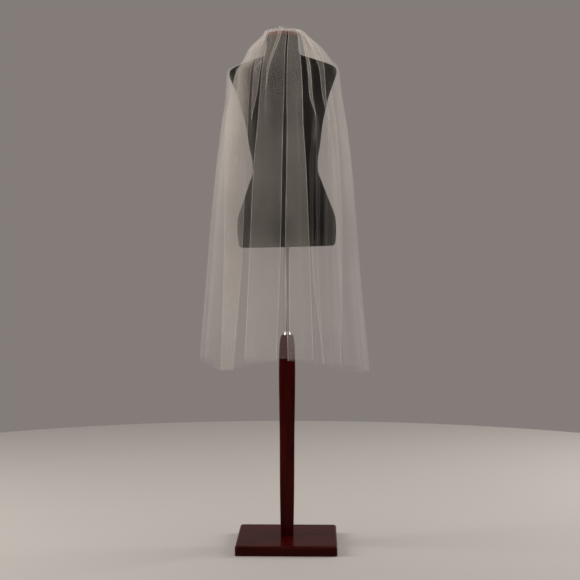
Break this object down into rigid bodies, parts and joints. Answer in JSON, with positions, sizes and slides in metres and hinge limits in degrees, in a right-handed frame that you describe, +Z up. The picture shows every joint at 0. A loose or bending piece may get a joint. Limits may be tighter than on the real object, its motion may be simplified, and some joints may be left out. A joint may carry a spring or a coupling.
{
  "type": "bridal veil on a dress form",
  "caption": "One-tier bridal veil of plain tulle gathered on a comb, open down the far side, on a limbless dress form with a wooden stand.",
  "frame": {"origin": "centre of the base's underside, on the floor", "axes": "+Z up the post, +X to the viewer's right, -Y towards the viewer, the side on which the veil's centre hangs"},
  "size_m": [0.5895, 0.35, 1.8166],
  "materials": {
    "mahogany": "gloss lacquer over a dark red stain",
    "steel": "bright",
    "jersey": "matte black knit",
    "comb_metal": "bright",
    "tulle": "fine white net, see-through"
  },
  "bodies": {
    "stand": {"base_slab": "mahogany", "post": "mahogany"},
    "clamp_collar": {"collar": "steel"},
    "dressed_form": {"rod": "steel", "torso": "jersey", "neck_cap": "mahogany", "comb": "comb_metal", "gathered_heading": "tulle", "veil": "tulle"}
  },
  "joints": [
    {"name": "form_swivel", "type": "hinge", "parent": "stand", "child": "clamp_collar", "pos_m": [0, 0, 0.7423], "axis": [0, 0, 1], "continuous": true},
    {"name": "height_slide", "type": "slide", "parent": "clamp_collar", "child": "dressed_form", "axis": [0, 0, 1], "range_m": [-0.26, 0.1]}
  ]
}
